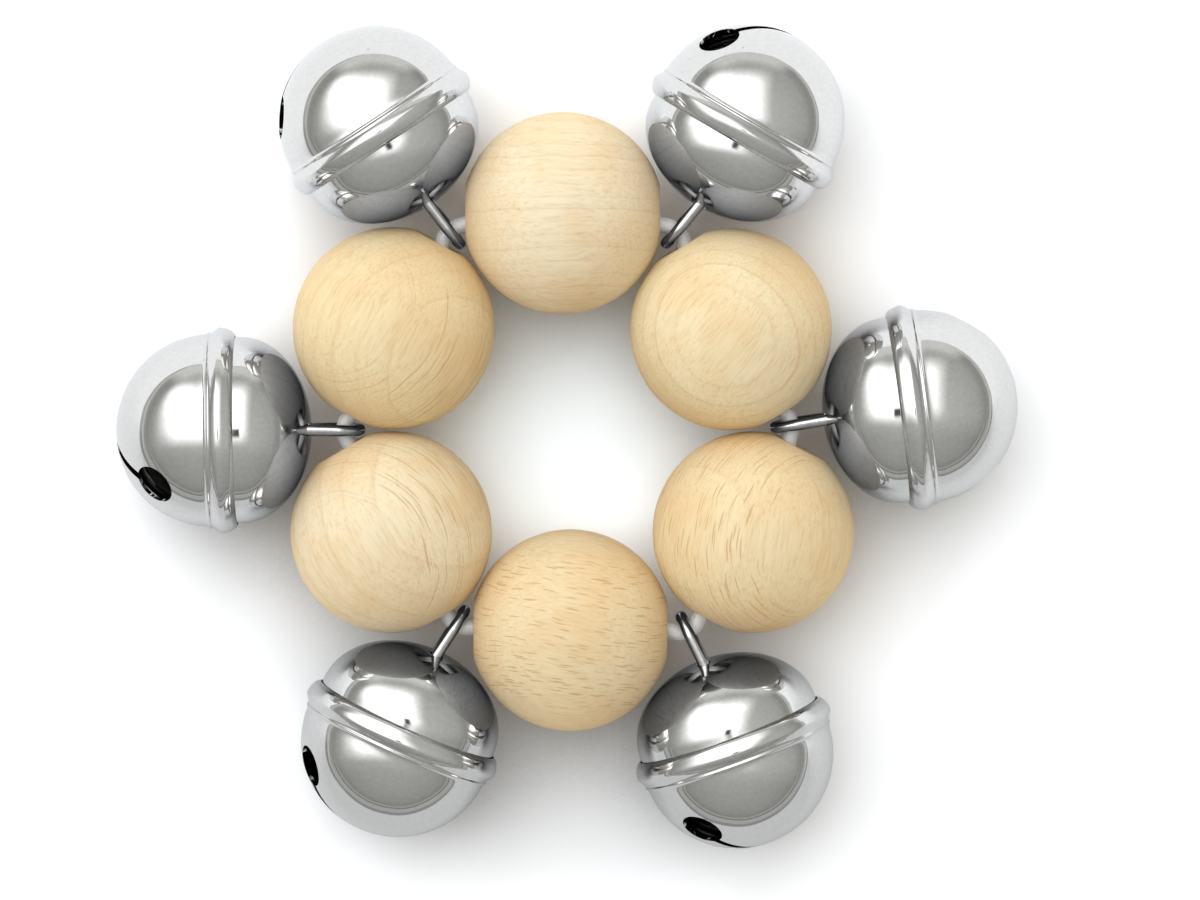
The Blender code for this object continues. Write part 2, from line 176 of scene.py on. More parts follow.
def wood_frame(bark, fibre):
    """Turn from the room's axes to the wood's: X from pith to bark, Z along the fibres."""
    out = Vector(bark).normalized()
    along = Vector(fibre)
    along = (along - out * along.dot(out)).normalized()
    return Matrix((out, along.cross(out), along)).to_euler("XYZ")


def beech(name, tone, turn, pith, ring_spacing, ring_depth, ray_length, ray_share):
    """Sanded, barely waxed beech: pale honey, faint year rings, short brown dashes of ray cells.

    pith is how far the tree's middle lies from the bead's, ring_spacing the width of a year and
    ray_length that of a dash, all in mm. ring_depth and ray_share say how strongly they show.
    """
    material, tree = new_material(name)
    place = add_node(tree, "ShaderNodeTexCoord")
    in_mm = add_node(tree, "ShaderNodeMapping", {
        "Vector": place.outputs["Object"], "Scale": (1000, 1000, 1000),
    })
    wood = add_node(tree, "ShaderNodeMapping", {"Vector": in_mm.outputs[0], "Rotation": turn})
    facing = add_node(tree, "ShaderNodeMapping", {"Vector": place.outputs["Normal"], "Rotation": turn})
    facing = add_node(tree, "ShaderNodeSeparateXYZ", {"Vector": facing.outputs[0]})

    # The grain wanders by about half a millimetre over the width of a bead
    wander = add_node(tree, "ShaderNodeTexNoise", {
        "Vector": wood.outputs[0], "Scale": 0.07, "Detail": 3.0, "Roughness": 0.5,
    })
    drift = add_node(tree, "ShaderNodeVectorMath", {
        0: wander.outputs["Color"], 1: (0.5, 0.5, 0.5),
    }, operation="SUBTRACT")
    bent = add_node(tree, "ShaderNodeVectorMath", {
        0: drift.outputs[0], 1: (2.4, 2.4, 2.4), 2: wood.outputs[0],
    }, operation="MULTIPLY_ADD")

    # Year rings: a thin line of late wood at the end of each year, stronger in some years
    across = add_node(tree, "ShaderNodeVectorMath", {
        0: bent.outputs[0], 1: (1, 1, 0), 2: (pith, 0, 0),
    }, operation="MULTIPLY_ADD")
    radius = add_node(tree, "ShaderNodeVectorMath", {0: across.outputs[0]}, operation="LENGTH")
    years = add_node(tree, "ShaderNodeMath", {
        0: radius.outputs["Value"], 1: ring_spacing,
    }, operation="DIVIDE")
    season = add_node(tree, "ShaderNodeMath", {0: years.outputs[0]}, operation="FRACT")
    year = add_node(tree, "ShaderNodeMath", {0: years.outputs[0]}, operation="FLOOR")
    chance = add_node(tree, "ShaderNodeTexWhiteNoise", {"W": year.outputs[0]}, noise_dimensions="1D")
    late = add_node(tree, "ShaderNodeValToRGB", {"Fac": season.outputs[0]}, stops=[
        (0.0, grey(0.25)), (0.12, grey(0.0)), (0.50, grey(0.06)), (0.84, grey(0.34)), (0.94, grey(1.0)),
    ])
    year_depth = add_node(tree, "ShaderNodeMapRange", {
        "Value": chance.outputs["Value"], "To Min": 0.3 * ring_depth, "To Max": ring_depth,
    })
    ring_line = add_node(tree, "ShaderNodeMath", {
        0: late.outputs[0], 1: year_depth.outputs[0],
    }, operation="MULTIPLY")

    # Fibres: streaks a few tenths of a millimetre wide and some millimetres long
    fibre_room = add_node(tree, "ShaderNodeMapping", {
        "Vector": bent.outputs[0], "Scale": (2.4, 2.4, 0.20),
    })
    fibres = add_node(tree, "ShaderNodeTexNoise", {
        "Vector": fibre_room.outputs[0], "Scale": 1.0, "Detail": 6.0, "Roughness": 0.68,
    })
    clouds = add_node(tree, "ShaderNodeTexNoise", {
        "Vector": wood.outputs[0], "Scale": 0.11, "Detail": 3.0, "Roughness": 0.55,
    })

    # A ray is a thin upright sheet of cells. On the bark's side it shows its edge as a dark dash
    # about 0.2 mm wide, and on the side across from it its pale face.
    ray_room = add_node(tree, "ShaderNodeMapping", {
        "Vector": bent.outputs[0], "Location": (0.5, 0, 0), "Scale": (0.03, 3.1, 0.56 / ray_length),
    })
    rays = add_node(tree, "ShaderNodeTexVoronoi", {
        "Vector": ray_room.outputs[0], "Scale": 1.0, "Randomness": 1.0,
    }, feature="F1")
    ray_body = add_node(tree, "ShaderNodeMapRange", {
        "Value": rays.outputs["Distance"], "From Min": 0.36, "From Max": 0.20,
    }, interpolation_type="SMOOTHSTEP")
    ray_chance = add_node(tree, "ShaderNodeSeparateColor", {"Color": rays.outputs["Color"]})
    ray_shows = add_node(tree, "ShaderNodeMapRange", {
        "Value": ray_chance.outputs[0], "From Min": 1.0 - ray_share, "From Max": 1.5 - ray_share,
    })
    ray_side = add_node(tree, "ShaderNodeMath", {0: facing.outputs[1]}, operation="ABSOLUTE")
    edge_on = add_node(tree, "ShaderNodeMapRange", {
        "Value": ray_side.outputs[0], "From Min": 0.92, "From Max": 0.60,
    }, interpolation_type="SMOOTHSTEP")
    ray = add_node(tree, "ShaderNodeMath", {
        0: ray_body.outputs[0], 1: ray_shows.outputs[0],
    }, operation="MULTIPLY")
    dash = add_node(tree, "ShaderNodeMath", {0: ray.outputs[0], 1: edge_on.outputs[0]}, operation="MULTIPLY")

    # Colour: warmer patches, ring lines, fibres, darker end grain, then the rays
    warm = add_node(tree, "ShaderNodeMapRange", {
        "Value": clouds.outputs["Fac"], "From Min": 0.42, "From Max": 0.72, "To Max": 0.5,
    })
    ground = add_node(tree, "ShaderNodeMix", {
        "Factor": warm.outputs[0], 6: linear(tone), 7: linear("F0CE9A"),
    }, data_type="RGBA")
    ringed = add_node(tree, "ShaderNodeMix", {
        "Factor": ring_line.outputs[0], 6: ground.outputs[2], 7: linear("CB975C"),
    }, data_type="RGBA")
    fibre_tone = add_node(tree, "ShaderNodeValToRGB", {"Fac": fibres.outputs["Fac"]}, stops=[
        (0.30, (0.87, 0.82, 0.74, 1.0)), (0.50, grey(1.0)), (0.70, (1.04, 1.06, 1.10, 1.0)),
    ])
    fibred = add_node(tree, "ShaderNodeMix", {
        "Factor": 1.0, 6: ringed.outputs[2], 7: fibre_tone.outputs[0],
    }, data_type="RGBA", blend_type="MULTIPLY")
    end_side = add_node(tree, "ShaderNodeMath", {0: facing.outputs[2]}, operation="ABSOLUTE")
    end_grain = add_node(tree, "ShaderNodeMapRange", {
        "Value": end_side.outputs[0], "From Min": 0.60, "From Max": 1.0, "To Max": 0.4,
    })
    ended = add_node(tree, "ShaderNodeMix", {
        "Factor": end_grain.outputs[0], 6: fibred.outputs[2], 7: linear("E2B87E"),
    }, data_type="RGBA")
    dash_depth = add_node(tree, "ShaderNodeMath", {0: dash.outputs[0], 1: 0.46}, operation="MULTIPLY")
    dashed = add_node(tree, "ShaderNodeMix", {
        "Factor": dash_depth.outputs[0], 6: ended.outputs[2], 7: linear("BC8543"),
    }, data_type="RGBA")
    face = add_node(tree, "ShaderNodeMath", {0: ray.outputs[0], 1: dash.outputs[0]}, operation="SUBTRACT")
    face_depth = add_node(tree, "ShaderNodeMath", {0: face.outputs[0], 1: 0.30}, operation="MULTIPLY")
    colour = add_node(tree, "ShaderNodeMix", {
        "Factor": face_depth.outputs[0], 6: dashed.outputs[2], 7: linear("FAEFD6"),
    }, data_type="RGBA")

    # Painted reflection: where the nickel mirrors it, the wood is painted grey, with painted shade
    # that makes it darker on the sides that face down or away from the window
    facing_room = add_node(tree, "ShaderNodeNewGeometry").outputs["Normal"]
    facing_room = add_node(tree, "ShaderNodeSeparateXYZ", {"Vector": facing_room})
    painted_shade_side = add_node(tree, "ShaderNodeMapRange", {
        "Value": facing_room.outputs[1], "From Min": -0.9, "From Max": 0.9, "To Min": 0.32, "To Max": 0.60,
    })
    painted_shade_height = add_node(tree, "ShaderNodeMapRange", {
        "Value": facing_room.outputs[2], "From Min": -0.5, "From Max": 0.75, "To Min": 0.62, "To Max": 1.06,
    })
    painted_shade_share = add_node(tree, "ShaderNodeMath", {
        0: painted_shade_side.outputs[0], 1: painted_shade_height.outputs[0],
    }, operation="MULTIPLY")
    wood_grey = add_node(tree, "ShaderNodeRGBToBW", {"Color": colour.outputs[2]})
    painted_reflection_grey = add_node(tree, "ShaderNodeMath", {
        0: wood_grey.outputs[0], 1: painted_shade_share.outputs[0],
    }, operation="MULTIPLY")
    painted_reflection_colour = add_node(tree, "ShaderNodeVectorMath", {
        0: (0.965, 0.995, 1.03), "Scale": painted_reflection_grey.outputs[0],
    }, operation="SCALE")
    path = add_node(tree, "ShaderNodeLightPath")
    seen = add_node(tree, "ShaderNodeMix", {
        "Factor": path.outputs["Glossy Depth"], 6: colour.outputs[2], 7: painted_reflection_colour.outputs[0],
    }, data_type="RGBA")

    relief = add_node(tree, "ShaderNodeMath", {
        0: fibres.outputs["Fac"], 1: dash.outputs[0],
    }, operation="SUBTRACT")
    bump = add_node(tree, "ShaderNodeBump", {
        "Height": relief.outputs[0], "Strength": 0.45, "Distance": 0.05 * MM,
    })
    shine = add_node(tree, "ShaderNodeMapRange", {
        "Value": fibres.outputs["Fac"], "To Min": 0.50, "To Max": 0.68,
    })
    shader = add_node(tree, "ShaderNodeBsdfPrincipled", {
        "Base Color": seen.outputs[2], "Roughness": shine.outputs[0], "IOR": 1.38,
        "Specular IOR Level": 0.4, "Normal": bump.outputs[0],
    })
    close_material(tree, shader)
    return material


def polished_nickel(name, roughness, dull, bright):
    """Bright nickel plate on buffed steel: a clear mirror, slightly uneven, with a rare pit."""
    material, tree = new_material(name)
    place = add_node(tree, "ShaderNodeTexCoord").outputs["Object"]
    in_mm = add_node(tree, "ShaderNodeMapping", {"Vector": place, "Scale": (1000, 1000, 1000)})
    dents = add_node(tree, "ShaderNodeTexNoise", {
        "Vector": in_mm.outputs[0], "Scale": 0.16, "Detail": 1.0, "Roughness": 0.4,
    })
    peel = add_node(tree, "ShaderNodeTexNoise", {
        "Vector": in_mm.outputs[0], "Scale": 1.6, "Detail": 3.0, "Roughness": 0.5,
    })
    height = add_node(tree, "ShaderNodeMath", {
        0: peel.outputs["Fac"], 1: 0.012, 2: dents.outputs["Fac"],
    }, operation="MULTIPLY_ADD")
    bump = add_node(tree, "ShaderNodeBump", {
        "Height": height.outputs[0], "Strength": 1.0, "Distance": 0.06 * MM,
    })
    haze = add_node(tree, "ShaderNodeMapRange", {
        "Value": peel.outputs["Fac"], "To Min": roughness * 0.6, "To Max": roughness * 1.4,
    })
    tone = add_node(tree, "ShaderNodeValToRGB", {"Fac": peel.outputs["Fac"]}, stops=[
        (0.3, linear(dull)), (0.7, linear(bright)),
    ])
    pits = add_node(tree, "ShaderNodeTexVoronoi", {
        "Vector": in_mm.outputs[0], "Scale": 0.16, "Randomness": 1.0,
    }, feature="F1")
    pit = add_node(tree, "ShaderNodeMapRange", {
        "Value": pits.outputs["Distance"], "From Min": 0.032, "From Max": 0.02, "To Max": 0.45,
    }, interpolation_type="SMOOTHSTEP")
    pitted = add_node(tree, "ShaderNodeMix", {
        "Factor": pit.outputs[0], 6: tone.outputs[0], 7: linear("7A7876"),
    }, data_type="RGBA")
    shader = add_node(tree, "ShaderNodeBsdfPrincipled", {
        "Base Color": pitted.outputs[2], "Metallic": 1.0, "Roughness": haze.outputs[0],
        "Normal": bump.outputs[0],
    })
    close_material(tree, shader)
    return material


def tumbled_steel(name):
    """Tumbled steel ball: dull grey, with the small dents that the barrel leaves."""
    material, tree = new_material(name)
    place = add_node(tree, "ShaderNodeTexCoord").outputs["Object"]
    dents = add_node(tree, "ShaderNodeTexNoise", {"Vector": place, "Scale": 700.0, "Detail": 3.0})
    bump = add_node(tree, "ShaderNodeBump", {
        "Height": dents.outputs["Fac"], "Strength": 0.5, "Distance": 0.05 * MM,
    })
    tone = add_node(tree, "ShaderNodeValToRGB", {"Fac": dents.outputs["Fac"]}, stops=[
        (0.35, linear("8E8E90")), (0.65, linear("B4B4B6")),
    ])
    shader = add_node(tree, "ShaderNodeBsdfPrincipled", {
        "Base Color": tone.outputs[0], "Metallic": 1.0, "Roughness": 0.35,
        "Normal": bump.outputs[0],
    })
    close_material(tree, shader)
    return material


def covered_elastic(name):
    """White elastic in a tight braided cover: silky, with a bright streak along its top."""
    material, tree = new_material(name)
    place = add_node(tree, "ShaderNodeTexCoord").outputs["Object"]
    threads = add_node(tree, "ShaderNodeTexVoronoi", {
        "Vector": place, "Scale": 2400.0, "Randomness": 0.35,
    }, feature="F1")
    bump = add_node(tree, "ShaderNodeBump", {
        "Height": threads.outputs["Distance"], "Strength": 0.7, "Distance": 0.08 * MM,
    }, invert=True)
    # Painted shade: each thread is painted greyer towards its edges, in the grooves between threads
    tone = add_node(tree, "ShaderNodeValToRGB", {"Fac": threads.outputs["Distance"]}, stops=[
        (0.1, linear("FFFFFF")), (0.7, linear("ECEDEF")),
    ])
    shader = add_node(tree, "ShaderNodeBsdfPrincipled", {
        "Base Color": tone.outputs[0], "Roughness": 0.24, "Normal": bump.outputs[0],
        "Specular IOR Level": 0.8, "Sheen Weight": 0.3,
    })
    close_material(tree, shader)
    return material


# Shapes


def arc(radius, start, end, steps):
    """Points (across, up) on an arc about the origin, angles measured from straight up."""
    points = []
    for step in range(steps + 1):
        angle = start + (end - start) * step / steps
        points.append((radius * math.sin(angle), radius * math.cos(angle)))
    return points


def ellipse(across, depth, place, start, end, steps):
    """Points on an ellipse whose middle lies at a place up the axis."""
    points = arc(1.0, start, end, steps)
    return [(max(0.0, x) * across, place + z * depth) for x, z in points]


def smooth_through(points, steps):
    """Points on a smooth curve that runs through the given ones."""
    padded = [points[0], *points, points[-1]]
    curve = []
    for before, start, end, after in zip(padded, padded[1:], padded[2:], padded[3:]):
        for step in range(steps):
            t = step / steps
            curve.append(tuple(
                0.5 * (2 * b + (c - a) * t + (2 * a - 5 * b + 4 * c - d) * t**2
                       + (3 * b - a - 3 * c + d) * t**3)
                for a, b, c, d in zip(before, start, end, after)
            ))
    curve.append(points[-1])
    return curve


def rounded(corners, radius, steps, closed):
    """A path whose corners are rounded to one radius."""
    points = []
    count = len(corners)
    for index, corner in enumerate(corners):
        if not closed and index in (0, count - 1):
            points.append(corner)
            continue
        back = (corners[index - 1] - corner).normalized()
        ahead = (corners[(index + 1) % count] - corner).normalized()
        turn = math.pi - back.angle(ahead)
        setback = radius * math.tan(turn / 2)
        centre = corner + (back + ahead).normalized() * (radius / math.cos(turn / 2))
        start = corner + back * setback - centre
        end = corner + ahead * setback - centre
        for step in range(steps + 1):
            share = step / steps
            first = math.sin((1 - share) * turn) / math.sin(turn)
            second = math.sin(share * turn) / math.sin(turn)
            points.append(centre + start * first + end * second)
    return points


def show(piece):
    bpy.context.scene.collection.objects.link(piece)
    return piece


def turned(name, profile, closed):
    """A piece turned about its Z axis from (radius, height) points."""
    mesh = bpy.data.meshes.new(name)
    edges = [(index, index + 1) for index in range(len(profile) - 1)]
    if closed:
        edges.append((len(profile) - 1, 0))
    mesh.from_pydata([(radius, 0.0, height) for radius, height in profile], edges, [])
    piece = show(bpy.data.objects.new(name, mesh))
    screw = piece.modifiers.new("Turn", "SCREW")
    screw.steps = TURN_STEPS
    screw.render_steps = TURN_STEPS
    screw.use_merge_vertices = True
    screw.merge_threshold = 0.000001
    screw.use_smooth_shade = True
    return piece


def cut(piece, cutter):
    boolean = piece.modifiers.new("Cut", "BOOLEAN")
    boolean.operation = "DIFFERENCE"
    boolean.solver = "EXACT"
    boolean.object = cutter


def applied_mesh(piece, helpers=()):
    """The piece's mesh with its modifiers applied. The piece and its helpers are removed."""
    bpy.context.view_layer.update()
    evaluated = piece.evaluated_get(bpy.context.evaluated_depsgraph_get())
    mesh = bpy.data.meshes.new_from_object(evaluated)
    mesh.shade_smooth()
    mesh.set_sharp_from_angle(angle=math.radians(32.0))
    for item in (piece, *helpers):
        bpy.data.objects.remove(item, do_unlink=True)
    return mesh


def block(name, size, location):
    mesh = bpy.data.meshes.new(name)
    shape = bmesh.new()
    bmesh.ops.create_cube(shape, size=1.0)
    bmesh.ops.scale(shape, vec=size, verts=shape.verts)
    shape.to_mesh(mesh)
    shape.free()
    piece = show(bpy.data.objects.new(name, mesh))
    piece.location = location
    return piece


def rod(name, radius, length, location, lean):
    mesh = bpy.data.meshes.new(name)
    shape = bmesh.new()
    bmesh.ops.create_cone(
        shape, cap_ends=True, segments=HOLE_STEPS, radius1=radius, radius2=radius, depth=length)
    shape.to_mesh(mesh)
    shape.free()
    piece = show(bpy.data.objects.new(name, mesh))
    piece.location = location
    piece.rotation_euler = (lean, 0, 0)
    return piece


def tube_mesh(name, points, radius, closed):
    curve = bpy.data.curves.new(name, "CURVE")
    curve.dimensions = "3D"
    curve.bevel_depth = radius
    curve.bevel_resolution = WIRE_SIDES
    curve.use_fill_caps = not closed
    spline = curve.splines.new("POLY")
    spline.points.add(len(points) - 1)
    for target, point in zip(spline.points, points):
        target.co = (*point, 1.0)
    spline.use_cyclic_u = closed
    return applied_mesh(show(bpy.data.objects.new(name, curve)))


def bead_mesh():
    radius = BEAD_DIAMETER / 2
    bore = BORE_DIAMETER / 2
    flat = bore + MOUTH_ROUND + MOUTH_FLAT
    half = math.sqrt(radius**2 - flat**2)
    start = math.asin(flat / radius)
    outline = arc(radius, start, math.pi - start, 72)
    mouth = arc(MOUTH_ROUND, math.pi, 1.5 * math.pi, 8)
    centre = bore + MOUTH_ROUND
    lower = [(centre + x, MOUTH_ROUND - half + z) for x, z in mouth]
    upper = [(x, -z) for x, z in reversed(lower)]
    return applied_mesh(turned("bead", outline + lower + upper, True))


def rim_outline(radius, lip):
    """The rolled rim from the dome to its lip: a thin crest line, a valley and a rounded hump."""
    edge = lip + RIM_EDGE
    standout = RIM_HUMP_STANDOUT
    foot_up_dome = (RIM_FOOT_PLACE - SLOTTED_DOME_PLACE) / SLOTTED_DOME_DEPTH
    return smooth_through([
        (radius * math.sqrt(1 - foot_up_dome**2), RIM_FOOT_PLACE),
        (radius + 0.02 * RIM_CREST_STANDOUT, 0.76 * RIM_FOOT_PLACE),
        (radius + 0.25 * RIM_CREST_STANDOUT, 0.54 * RIM_FOOT_PLACE),
        (radius + RIM_CREST_STANDOUT, RIM_CREST_PLACE),
        (radius + RIM_VALLEY_STANDOUT, 0.12 * MM),
        (radius + 0.34 * standout, -0.12 * RIM_HUMP_PLACE),
        (radius + 0.62 * standout, -0.40 * RIM_HUMP_PLACE),
        (radius + 0.88 * standout, -0.72 * RIM_HUMP_PLACE),
        (radius + standout, -RIM_HUMP_PLACE),
        (radius + 0.93 * standout, -1.9 * MM),
        (radius + 0.72 * standout, -2.5 * MM),
        (radius + 0.45 * standout, -3.05 * MM),
        (edge, -RIM_SEAM_PLACE + 0.04 * MM),
        (lip + 0.08 * MM, -RIM_SEAM_PLACE - 0.02 * MM),
        (lip, -RIM_SEAM_PLACE + 0.05 * MM),
    ], 6)


def slotted_shell_mesh():
    """Slotted shell about the bell's middle, its outer pole along +Z and its slit along Y."""
    radius = SHELL_DIAMETER / 2
    inside_radius = radius - SHELL_WALL
    lip = radius - SKIRT_INSET + SEAM_GAP
    to_foot = math.acos((RIM_FOOT_PLACE - SLOTTED_DOME_PLACE) / SLOTTED_DOME_DEPTH)
    outside = ellipse(radius, SLOTTED_DOME_DEPTH, SLOTTED_DOME_PLACE, 0.0, to_foot, 56)
    inside = ellipse(
        inside_radius, SLOTTED_DOME_DEPTH - SHELL_WALL, SLOTTED_DOME_PLACE, math.pi / 2, 0.0, 32)
    ledge = [(lip, -RIM_LEDGE_PLACE), (inside_radius, -RIM_LEDGE_PLACE)]
    shell = turned("slotted shell", outside[:-1] + rim_outline(radius, lip) + ledge + inside, False)

    up_dome = (SLIT_HOLE_PLACE - SLOTTED_DOME_PLACE) / SLOTTED_DOME_DEPTH
    across = radius * math.sqrt(1 - up_dome**2)
    lean = math.atan2(across, SLIT_HOLE_PLACE)
    top = SLOTTED_DOME_PLACE + SLOTTED_DOME_DEPTH + SHELL_WALL
    middle = (top + SLIT_HOLE_PLACE) / 2
    cutters = [block("slit", (SLIT_WIDTH, 2 * across, top - SLIT_HOLE_PLACE), (0, 0, middle))]
    for side in (1, -1):
        spot = (0, side * across, SLIT_HOLE_PLACE)
        cutters.append(rod("slit end", SLIT_HOLE_DIAMETER / 2, SLIT_HOLE_DIAMETER, spot, -side * lean))
    for cutter in cutters:
        cut(shell, cutter)
    return applied_mesh(shell, cutters)


def loop_shell_mesh():
    """Loop shell about the bell's middle, its pole along -Z and a hole for each wire leg."""
    radius = SHELL_DIAMETER / 2 - SKIRT_INSET
    inside_radius = radius - SHELL_WALL
    skirt = -RIM_LEDGE_PLACE - SEAM_GAP
    half_turn = math.pi / 2
    inside = ellipse(inside_radius, LOOP_DOME_DEPTH - SHELL_WALL, -LOOP_DOME_PLACE, math.pi, half_turn, 40)
    outside = ellipse(radius, LOOP_DOME_DEPTH, -LOOP_DOME_PLACE, half_turn, math.pi, 56)
    shell = turned("loop shell", inside + [(inside_radius, skirt), (radius, skirt)] + outside, False)
    cutters = []
    for side in (1, -1):
        spot = (side * (LOOP_WIDTH - WIRE_DIAMETER) / 2, 0, SHELL_WALL - LOOP_DOME_PLACE - LOOP_DOME_DEPTH)
        cutters.append(rod("leg hole", WIRE_DIAMETER / 2 + SEAM_GAP, 6 * SHELL_WALL, spot, 0.0))
    for cutter in cutters:
        cut(shell, cutter)
    return applied_mesh(shell, cutters)


def wire_loop_mesh():
    """Wire loop in the hanger's frame: the cord at the origin and the bell along +X."""
    wire = WIRE_DIAMETER / 2
    half_width = LOOP_WIDTH / 2 - wire
    off_wall = SHELL_WALL + CLINCH_GAP + wire
    foot_across = SHELL_DIAMETER / 2 - SKIRT_INSET - off_wall
    foot_depth = LOOP_DOME_DEPTH - off_wall
    clinch = []
    for step in range(9):
        height = half_width + CLINCH_LENGTH * (1 - step / 8)
        along = foot_depth * math.sqrt(1 - (height / foot_across) ** 2)
        clinch.append(Vector((LOOP_REACH + LOOP_DOME_DEPTH - along, 0, height)))
    bend_start = half_width - LOOP_TO_CORD
    corners = [clinch[-2], clinch[-1], Vector((bend_start, 0, half_width))]
    leg = rounded(corners, CLINCH_BEND, BEND_STEPS, False)
    upper = clinch[:-2] + leg[1:-1]
    bend = []
    for x, z in arc(half_width, 0.0, -math.pi, 40):
        bend.append(Vector((bend_start + x, 0, z)))
    lower = [Vector((point.x, 0, -point.z)) for point in reversed(upper)]
    return tube_mesh("wire loop", upper + bend + lower, wire, False)


def pellet_mesh():
    """A steel ball pressed from bar, with the faint belt where the dies met."""
    radius = PELLET_DIAMETER / 2
    belted = []
    for x, z in arc(radius, 0.0, math.pi, 48):
        belt = 0.012 * radius * math.exp(-(z / (0.12 * radius)) ** 2)
        belted.append((max(0.0, x - belt), z))
    return applied_mesh(turned("pellet", belted, False))


# The pieces in their places

joints = {joint["name"]: joint for joint in frame["joints"]}


def finished(name, mesh, matrix, material, body, node):
    """Put a copy of a mesh in its place, for one node of the model, riding on its body."""
    shape = mesh.copy()
    shape.transform(matrix.to_3x3().to_4x4())
    shape.materials.clear()
    shape.materials.append(material)
    piece = show(bpy.data.objects.new(name, shape))
    piece.location = matrix.translation
    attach(piece, body)
    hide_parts(node)
    return piece


def make_beads():
    """Each bead's own wood: tone, bark side, fibre direction, pith, rings, ray length and share."""
    woods = [
        ("F7EACB", (0.0, -1.0, 0.0), (1.0, 0.02, 0.0), 120.0, 1.9, 0.22, 3.0, 0.20),
        ("F6E8C2", (-0.08, -0.05, 1.0), (0.6, 0.8, 0.0), 46.0, 2.2, 0.26, 1.6, 0.12),
        ("F4E2B9", (-0.67, 0.10, 0.72), (0.15, 0.98, 0.0), 80.0, 4.6, 0.12, 3.4, 0.75),
        ("F0DEB7", (0.0, 0.05, 1.0), (0.99, -0.13, 0.0), 120.0, 5.4, 0.10, 1.9, 0.78),
        ("F5E8C7", (0.65, 0.50, 0.57), (0.56, -0.82, 0.07), 60.0, 3.9, 0.16, 6.5, 0.60),
        ("F3E1B7", (0.66, -0.40, 0.62), (0.50, 0.86, 0.02), 50.0, 3.4, 0.16, 11.0, 0.55),
    ]
    mesh = bead_mesh()
    for number, (tone, bark, fibre, *grain) in zip(NUMBERS, woods):
        name = f"bead_{number}"
        joint = joints[name + "_spin"]
        axis = Vector(joint["axis"])
        turn = Matrix.Rotation(math.atan2(axis.y, axis.x), 4, "Z") @ Matrix.Rotation(math.pi / 2, 4, "Y")
        wood = beech(f"beech {number}", tone, wood_frame(bark, fibre), *grain)
        matrix = Matrix.Translation(joint["pos_m"]) @ turn
        finished(f"beech_bead_{number}", mesh, matrix, wood, name, name)


def make_bells():
    shell_nickel = polished_nickel("polished nickel plate", 0.05, "DFDEDD", "E7E7E6")
    wire_nickel = polished_nickel("drawn nickel wire", 0.09, "C4C3C2", "D6D5D4")
    steel = tumbled_steel("tumbled steel")
    slotted = slotted_shell_mesh()
    plain = loop_shell_mesh()
    wire = wire_loop_mesh()
    ball = pellet_mesh()
    upright = Matrix.Rotation(math.pi / 2, 4, "Y")
    to_holes = Matrix.Translation((LOOP_REACH + SHELL_WALL, 0, 0))
    to_middle = Matrix.Translation((LOOP_DOME_PLACE + LOOP_DOME_DEPTH - SHELL_WALL, 0, 0))
    for number, lean, roll in zip(NUMBERS, BELL_LEANS, BELL_ROLLS):
        bell = f"bell_{number}"
        swing = joints[bell + "_swing"]
        axis = Vector(swing["axis"])
        hanger = Matrix.Translation(swing["pos_m"]) @ Matrix.Rotation(math.atan2(axis.x, -axis.y), 4, "Z")
        middle = hanger @ to_holes @ Matrix.Rotation(math.radians(lean), 4, "Z") @ to_middle @ upright
        rolled = middle @ Matrix.Rotation(math.radians(roll), 4, "Z")
        lowest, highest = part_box(bell + "_pellet")
        pellet_place = Matrix.Translation((lowest + highest) / 2)
        for part, mesh, matrix, material, slot, body in (
            ("slotted_shell", slotted, rolled, shell_nickel, "nickel", bell),
            ("loop_shell", plain, middle, shell_nickel, "nickel", bell),
            ("wire_loop", wire, hanger, wire_nickel, "nickel", bell),
            ("pellet", ball, pellet_place, steel, "pellet_steel", bell + "_pellet"),
        ):
            finished(f"{part}_{number}", mesh, matrix, material, body, f"{bell}_{part}")


def cord_route():
    """Corners of the cord's middle line: straight through each bore, then across each loop."""
    beads = [joints[f"bead_{number}_spin"] for number in NUMBERS]
    pivots = [joints[f"bell_{number}_swing"] for number in NUMBERS]
    flat = BORE_DIAMETER / 2 + MOUTH_ROUND + MOUTH_FLAT
    straight = math.sqrt((BEAD_DIAMETER / 2) ** 2 - flat**2) - MOUTH_ROUND
    slack = (BORE_DIAMETER - CORD_DIAMETER) / 2 - CORD_CLEARANCE
    corners = []
    for index, (bead, pivot) in enumerate(zip(beads, pivots)):
        middle = Vector(bead["pos_m"])
        along = Vector(bead["axis"])
        outward = Vector((-along.y, along.x, 0.0))
        pull = [(Vector(pivots[side]["pos_m"]) - middle).dot(outward) for side in (index - 1, index)]
        middle += outward * max(-slack, min(slack, sum(pull) / 2))
        corners += [middle - along * straight, middle + along * straight]
        crossing = Vector(pivot["pos_m"])
        across = Vector(pivot["axis"])
        corners += [crossing - across * CORD_FLAT, crossing + across * CORD_FLAT]
    return corners


def make_cord():
    route = rounded(cord_route(), CORD_BEND, BEND_STEPS, True)
    mesh = tube_mesh("cord", route, CORD_DIAMETER / 2, True)
    elastic = covered_elastic("covered elastic")
    finished("braided_cord", mesh, Matrix.Identity(4), elastic, "cord", "elastic_cord")


# The studio


def soft_patch(tree, edges):
    """How far a place or direction lies inside a patch: each edge is (measure, outside, inside)."""
    share = None
    for measure, outside, inside in edges:
        step = add_node(tree, "ShaderNodeMapRange", {
            "Value": measure, "From Min": outside, "From Max": inside,
        }, interpolation_type="SMOOTHSTEP").outputs[0]
        if share is None:
            share = step
        else:
            share = add_node(tree, "ShaderNodeMath", {0: share, 1: step}, operation="MULTIPLY").outputs[0]
    return share


